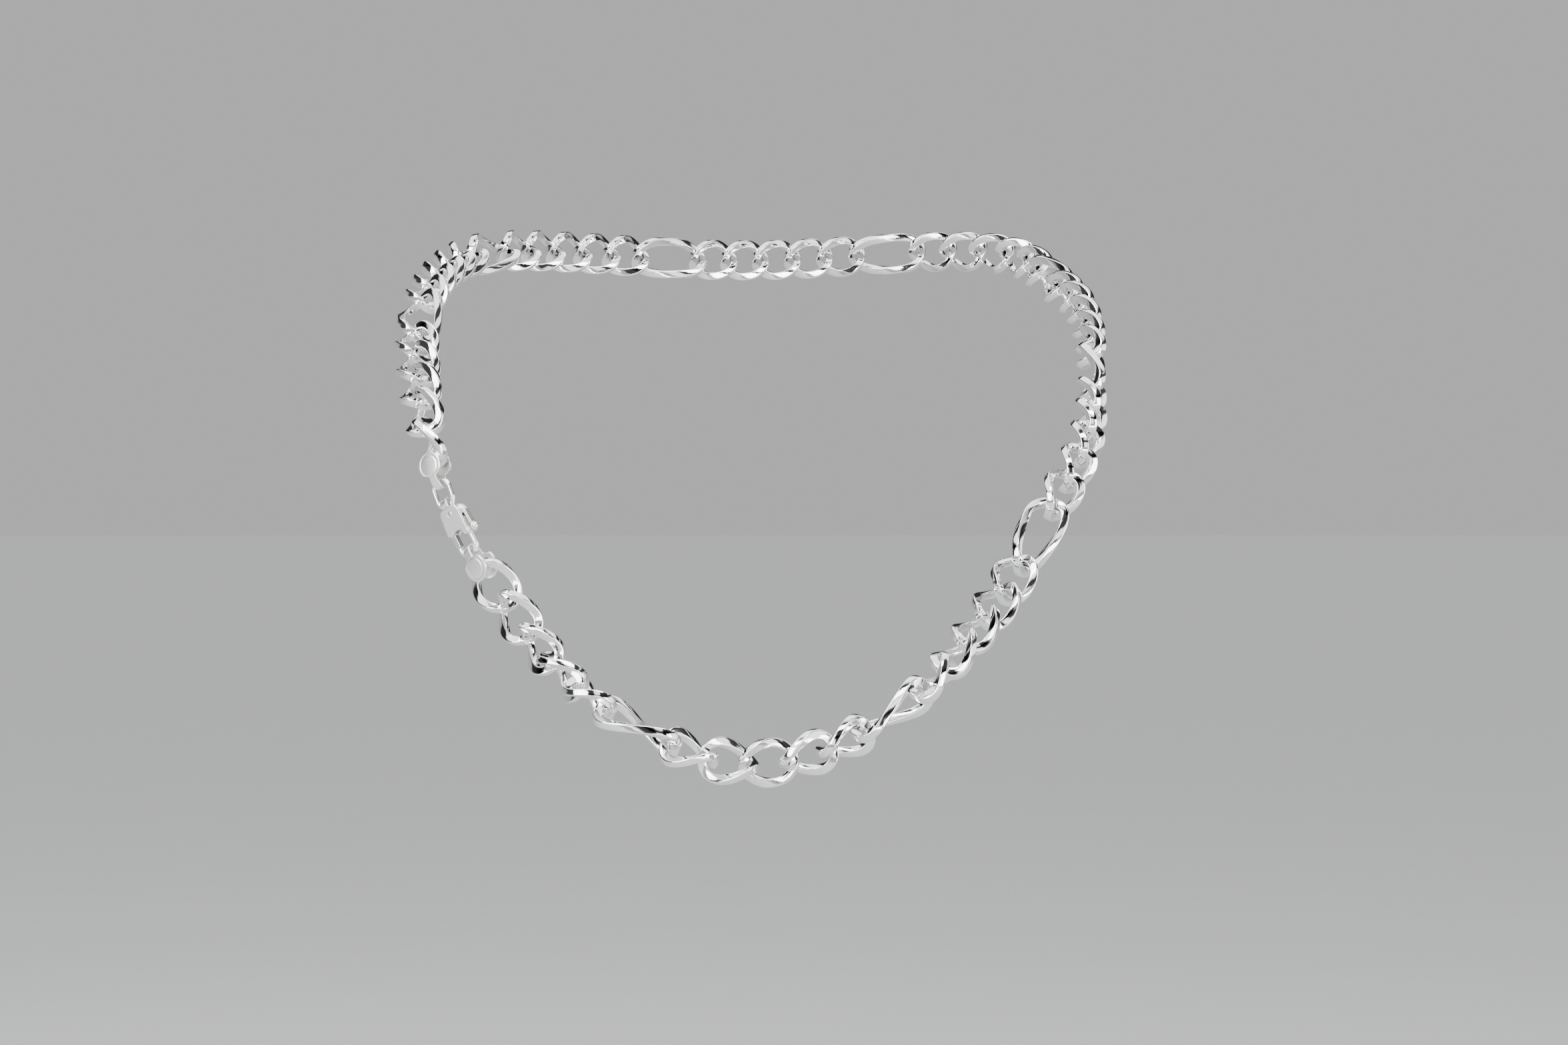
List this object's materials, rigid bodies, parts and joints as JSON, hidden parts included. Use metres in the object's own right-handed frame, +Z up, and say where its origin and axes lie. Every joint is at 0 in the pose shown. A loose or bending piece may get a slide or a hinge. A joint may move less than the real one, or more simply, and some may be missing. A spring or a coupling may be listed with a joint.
{
  "type": "chain necklace",
  "caption": "Figaro-pattern curb chain necklace in twisted square-wire links, laid in a worn loop, with lobster clasp, jump ring and folded end caps.",
  "frame": {"origin": "the point on the nape that the worn chain hangs from", "axes": "+Z up, the front of the chain faces -Y, +X on the right seen from the front"},
  "size_m": [0.169, 0.1727, 0.1346],
  "materials": {
    "link_silver": "polished",
    "clasp_silver": "polished"
  },
  "bodies": {
    "nape": {"nape_links": "link_silver"},
    "left_01": {"left_link_01": "link_silver"},
    "left_02": {"left_link_02": "link_silver"},
    "left_03": {"left_link_03": "link_silver"},
    "left_04": {"left_link_04": "link_silver"},
    "left_05": {"left_link_05": "link_silver"},
    "left_06": {"left_link_06": "link_silver"},
    "left_07": {"left_link_07": "link_silver"},
    "left_08": {"left_link_08": "link_silver"},
    "left_09": {"left_link_09": "link_silver"},
    "left_10": {"left_link_10": "link_silver"},
    "left_11": {"left_link_11": "link_silver"},
    "left_12": {"left_link_12": "link_silver"},
    "left_13": {"left_link_13": "link_silver"},
    "left_14": {"left_link_14": "link_silver"},
    "left_15": {"left_link_15": "link_silver"},
    "left_16": {"left_link_16": "link_silver", "end_cap_upper": "clasp_silver"},
    "left_17": {"jump_ring": "clasp_silver"},
    "left_18": {"clasp_body": "clasp_silver", "clasp_pin": "clasp_silver", "clasp_spring": "clasp_silver"},
    "left_19": {"end_cap_lower": "clasp_silver", "left_link_17": "link_silver"},
    "left_20": {"left_link_18": "link_silver"},
    "left_21": {"left_link_19": "link_silver"},
    "left_22": {"left_link_20": "link_silver"},
    "left_23": {"left_link_21": "link_silver"},
    "left_24": {"left_link_22": "link_silver"},
    "left_25": {"left_link_23": "link_silver"},
    "left_26": {"left_link_24": "link_silver"},
    "right_01": {"right_link_01": "link_silver"},
    "right_02": {"right_link_02": "link_silver"},
    "right_03": {"right_link_03": "link_silver"},
    "right_04": {"right_link_04": "link_silver"},
    "right_05": {"right_link_05": "link_silver"},
    "right_06": {"right_link_06": "link_silver"},
    "right_07": {"right_link_07": "link_silver"},
    "right_08": {"right_link_08": "link_silver"},
    "right_09": {"right_link_09": "link_silver"},
    "right_10": {"right_link_10": "link_silver"},
    "right_11": {"right_link_11": "link_silver"},
    "right_12": {"right_link_12": "link_silver"},
    "right_13": {"right_link_13": "link_silver"},
    "right_14": {"right_link_14": "link_silver"},
    "right_15": {"right_link_15": "link_silver"},
    "right_16": {"right_link_16": "link_silver"},
    "right_17": {"right_link_17": "link_silver"},
    "right_18": {"right_link_18": "link_silver"},
    "right_19": {"right_link_19": "link_silver"},
    "right_20": {"right_link_20": "link_silver"},
    "right_21": {"right_link_21": "link_silver"},
    "right_22": {"right_link_22": "link_silver"},
    "right_23": {"right_link_23": "link_silver"},
    "right_24": {"right_link_24": "link_silver"},
    "right_25": {"right_link_25": "link_silver"},
    "right_26": {"right_link_26": "link_silver"},
    "front": {"front_link": "link_silver"},
    "lever": {"clasp_lever": "clasp_silver"}
  },
  "joints": [
    {"name": "bend_01", "type": "hinge", "parent": "nape", "child": "left_01", "pos_m": [-0.04065, -0.01644, 0.00005], "axis": [0.9793, 0.2009, 0.0243], "range_deg": [-6, 6]},
    {"name": "rock_01", "type": "hinge", "parent": "left_01", "child": "right_01", "pos_m": [0.0445, -0.00115, 0.00207], "axis": [0.9521, -0.3058, 0.0027], "range_deg": [-5, 5]},
    {"name": "bend_02", "type": "hinge", "parent": "left_01", "child": "left_02", "pos_m": [-0.04785, -0.02132, 0.00011], "axis": [-0.9813, -0.1915, -0.0201], "range_deg": [-6, 6]},
    {"name": "rock_02", "type": "hinge", "parent": "left_02", "child": "right_02", "pos_m": [0.05255, -0.00439, 0.00186], "axis": [0.8976, -0.4379, -0.0514], "range_deg": [-5, 5]},
    {"name": "bend_03", "type": "hinge", "parent": "left_02", "child": "left_03", "pos_m": [-0.0546, -0.02681, 0.00001], "axis": [0.9833, 0.1817, 0.0144], "range_deg": [-6, 6]},
    {"name": "rock_03", "type": "hinge", "parent": "left_03", "child": "right_03", "pos_m": [0.05988, -0.0089, 0.00104], "axis": [0.7885, -0.5994, -0.138], "range_deg": [-5, 5]},
    {"name": "bend_04", "type": "hinge", "parent": "left_03", "child": "left_04", "pos_m": [-0.06071, -0.033, -0.00032], "axis": [-0.9853, -0.1707, -0.0061], "range_deg": [-6, 6]},
    {"name": "rock_04", "type": "hinge", "parent": "left_04", "child": "right_04", "pos_m": [0.0658, -0.01489, -0.0007], "axis": [0.5717, -0.7775, -0.2621], "range_deg": [-4, 4]},
    {"name": "bend_05", "type": "hinge", "parent": "left_04", "child": "left_05", "pos_m": [-0.06594, -0.03991, -0.00099], "axis": [0.9872, 0.1592, -0.0063], "range_deg": [-6, 6]},
    {"name": "rock_05", "type": "hinge", "parent": "left_05", "child": "right_05", "pos_m": [0.06967, -0.0221, -0.00337], "axis": [0.3179, -0.8803, -0.3522], "range_deg": [-5, 5]},
    {"name": "bend_06", "type": "hinge", "parent": "left_05", "child": "left_06", "pos_m": [-0.07289, -0.05446, -0.00336], "axis": [-0.9809, -0.1944, 0.0105], "range_deg": [-6, 6]},
    {"name": "rock_06", "type": "hinge", "parent": "left_06", "child": "right_06", "pos_m": [0.07293, -0.0334, -0.00758], "axis": [0.2307, -0.9158, -0.3286], "range_deg": [-5, 5]},
    {"name": "bend_07", "type": "hinge", "parent": "left_06", "child": "left_07", "pos_m": [-0.07534, -0.0626, -0.00524], "axis": [0.9891, 0.1432, -0.033], "range_deg": [-6, 6]},
    {"name": "rock_07", "type": "hinge", "parent": "left_07", "child": "right_07", "pos_m": [0.07589, -0.04483, -0.01166], "axis": [0.2474, -0.9139, -0.3218], "range_deg": [-4, 4]},
    {"name": "bend_08", "type": "hinge", "parent": "left_07", "child": "left_08", "pos_m": [-0.0772, -0.07077, -0.00759], "axis": [-0.9894, -0.1409, 0.0351], "range_deg": [-3.5, 3.5]},
    {"name": "rock_08", "type": "hinge", "parent": "left_08", "child": "right_08", "pos_m": [0.07779, -0.05265, -0.01494], "axis": [0.1886, -0.8823, -0.4312], "range_deg": [-3.5, 3.5]},
    {"name": "bend_09", "type": "hinge", "parent": "left_08", "child": "left_09", "pos_m": [-0.07867, -0.07886, -0.01042], "axis": [0.9892, 0.1407, -0.0402], "range_deg": [-6, 6]},
    {"name": "rock_09", "type": "hinge", "parent": "left_09", "child": "right_09", "pos_m": [0.07904, -0.06021, -0.01901], "axis": [0.1001, -0.857, -0.5055], "range_deg": [-5, 5]},
    {"name": "bend_10", "type": "hinge", "parent": "left_09", "child": "left_10", "pos_m": [-0.07981, -0.08681, -0.01378], "axis": [-0.9888, -0.1419, 0.0461], "range_deg": [-6, 6]},
    {"name": "rock_10", "type": "hinge", "parent": "left_10", "child": "right_10", "pos_m": [0.07951, -0.06773, -0.02335], "axis": [0.0066, -0.8709, -0.4915], "range_deg": [-5, 5]},
    {"name": "bend_11", "type": "hinge", "parent": "left_10", "child": "left_11", "pos_m": [-0.08055, -0.09457, -0.01764], "axis": [0.9886, 0.1423, -0.0485], "range_deg": [-6, 6]},
    {"name": "rock_11", "type": "hinge", "parent": "left_11", "child": "right_11", "pos_m": [0.07927, -0.07535, -0.02753], "axis": [-0.0616, -0.8811, -0.4689], "range_deg": [-5, 5]},
    {"name": "bend_12", "type": "hinge", "parent": "left_11", "child": "left_12", "pos_m": [-0.08055, -0.10844, -0.0262], "axis": [-0.9834, -0.1803, 0.0207], "range_deg": [-6, 6]},
    {"name": "rock_12", "type": "hinge", "parent": "left_12", "child": "right_12", "pos_m": [0.07836, -0.08608, -0.03387], "axis": [-0.0786, -0.8456, -0.528], "range_deg": [-5, 5]},
    {"name": "bend_13", "type": "hinge", "parent": "left_12", "child": "left_13", "pos_m": [-0.07968, -0.11536, -0.03139], "axis": [0.9891, 0.1407, -0.0426], "range_deg": [-6, 6]},
    {"name": "rock_13", "type": "hinge", "parent": "left_13", "child": "right_13", "pos_m": [0.07729, -0.09645, -0.04074], "axis": [-0.0981, -0.801, -0.5905], "range_deg": [-5, 5]},
    {"name": "bend_14", "type": "hinge", "parent": "left_13", "child": "left_14", "pos_m": [-0.07841, -0.12203, -0.03684], "axis": [-0.9892, -0.1407, 0.0412], "range_deg": [-6, 6]},
    {"name": "rock_14", "type": "hinge", "parent": "left_14", "child": "right_14", "pos_m": [0.07621, -0.1033, -0.04599], "axis": [-0.151, -0.7734, -0.6157], "range_deg": [-5, 5]},
    {"name": "bend_15", "type": "hinge", "parent": "left_14", "child": "left_15", "pos_m": [-0.07701, -0.12854, -0.04244], "axis": [0.9891, 0.1418, -0.0404], "range_deg": [-6, 6]},
    {"name": "rock_15", "type": "hinge", "parent": "left_15", "child": "right_15", "pos_m": [0.07444, -0.10977, -0.05151], "axis": [-0.2561, -0.7127, -0.653], "range_deg": [-5, 5]},
    {"name": "bend_16", "type": "hinge", "parent": "left_15", "child": "left_16", "pos_m": [-0.0754, -0.13438, -0.04868], "axis": [-0.989, -0.1431, 0.0377], "range_deg": [-6, 6]},
    {"name": "rock_16", "type": "hinge", "parent": "left_16", "child": "right_16", "pos_m": [0.0716, -0.11549, -0.05736], "axis": [-0.3968, -0.6027, -0.6923], "range_deg": [-5, 5]},
    {"name": "bend_17", "type": "hinge", "parent": "left_16", "child": "left_17", "pos_m": [-0.07158, -0.13965, -0.06165], "axis": [0.9886, 0.1506, 0.0089], "range_deg": [-6, 6]},
    {"name": "rock_17", "type": "hinge", "parent": "left_17", "child": "right_17", "pos_m": [0.06782, -0.12026, -0.06355], "axis": [-0.4713, -0.4946, -0.7302], "range_deg": [-5, 5]},
    {"name": "bend_18", "type": "hinge", "parent": "left_17", "child": "left_18", "pos_m": [-0.07013, -0.14035, -0.06553], "axis": [-0.9914, -0.1308, 0.0087], "range_deg": [-6, 6]},
    {"name": "rock_18", "type": "hinge", "parent": "left_18", "child": "right_18", "pos_m": [0.06203, -0.12588, -0.07308], "axis": [-0.4591, -0.425, -0.7801], "range_deg": [-5, 5]},
    {"name": "bend_19", "type": "hinge", "parent": "left_18", "child": "left_19", "pos_m": [-0.06467, -0.14239, -0.0759], "axis": [0.994, 0.1055, -0.0286], "range_deg": [-6, 6]},
    {"name": "rock_19", "type": "hinge", "parent": "left_19", "child": "right_19", "pos_m": [0.05625, -0.13161, -0.08254], "axis": [-0.4678, -0.5215, -0.7135], "range_deg": [-5, 5]},
    {"name": "bend_20", "type": "hinge", "parent": "left_19", "child": "left_20", "pos_m": [-0.05648, -0.14592, -0.08746], "axis": [-0.994, -0.1081, -0.0162], "range_deg": [-6, 6]},
    {"name": "rock_20", "type": "hinge", "parent": "left_20", "child": "right_20", "pos_m": [0.05208, -0.13657, -0.08831], "axis": [-0.4921, -0.6195, -0.6115], "range_deg": [-5, 5]},
    {"name": "bend_21", "type": "hinge", "parent": "left_20", "child": "left_21", "pos_m": [-0.05154, -0.14857, -0.09411], "axis": [0.9954, 0.0912, 0.0308], "range_deg": [-6, 6]},
    {"name": "rock_21", "type": "hinge", "parent": "left_21", "child": "right_21", "pos_m": [0.04767, -0.14193, -0.09355], "axis": [-0.5215, -0.6123, -0.5942], "range_deg": [-5, 5]},
    {"name": "bend_22", "type": "hinge", "parent": "left_21", "child": "left_22", "pos_m": [-0.04629, -0.15168, -0.10031], "axis": [-0.996, -0.0769, -0.0453], "range_deg": [-6, 6]},
    {"name": "rock_22", "type": "hinge", "parent": "left_22", "child": "right_22", "pos_m": [0.04293, -0.14691, -0.09887], "axis": [-0.5683, -0.5322, -0.6276], "range_deg": [-5, 5]},
    {"name": "bend_23", "type": "hinge", "parent": "left_22", "child": "left_23", "pos_m": [-0.04046, -0.15506, -0.10581], "axis": [0.9961, 0.0719, 0.0519], "range_deg": [-6, 6]},
    {"name": "rock_23", "type": "hinge", "parent": "left_23", "child": "right_23", "pos_m": [0.03763, -0.15117, -0.10428], "axis": [-0.6487, -0.4465, -0.6163], "range_deg": [-5, 5]},
    {"name": "bend_24", "type": "hinge", "parent": "left_23", "child": "left_24", "pos_m": [-0.03389, -0.15804, -0.11067], "axis": [-0.996, -0.0715, -0.0538], "range_deg": [-6, 6]},
    {"name": "rock_24", "type": "hinge", "parent": "left_24", "child": "right_24", "pos_m": [0.02837, -0.15574, -0.11119], "axis": [-0.791, -0.3234, -0.5194], "range_deg": [-5, 5]},
    {"name": "bend_25", "type": "hinge", "parent": "left_24", "child": "left_25", "pos_m": [-0.01963, -0.16084, -0.11807], "axis": [0.9962, 0.0589, 0.0634], "range_deg": [-6, 6]},
    {"name": "rock_25", "type": "hinge", "parent": "left_25", "child": "right_25", "pos_m": [0.01801, -0.15922, -0.11714], "axis": [-0.899, -0.1926, -0.3933], "range_deg": [-5, 5]},
    {"name": "bend_26", "type": "hinge", "parent": "left_25", "child": "left_26", "pos_m": [-0.01143, -0.16112, -0.12095], "axis": [-0.9958, -0.0415, -0.0819], "range_deg": [-6, 6]},
    {"name": "rock_26", "type": "hinge", "parent": "left_26", "child": "right_26", "pos_m": [0.00995, -0.16048, -0.12008], "axis": [-0.9544, -0.0967, -0.2823], "range_deg": [-5, 5]},
    {"name": "rock_front", "type": "hinge", "parent": "left_26", "child": "front", "pos_m": [0.00147, -0.16096, -0.12183], "axis": [0.9926, 0.0153, 0.1203], "range_deg": [-5, 5]},
    {"name": "clasp_lever_turn", "type": "hinge", "parent": "left_18", "child": "lever", "pos_m": [-0.06835, -0.14114, -0.06799], "axis": [-0.5365, -0.8355, -0.1184], "range_deg": [0, 20], "stiffness_Nm_per_rad": 0.002, "springref_deg": -11.46, "deforming": ["clasp_spring"]}
  ]
}
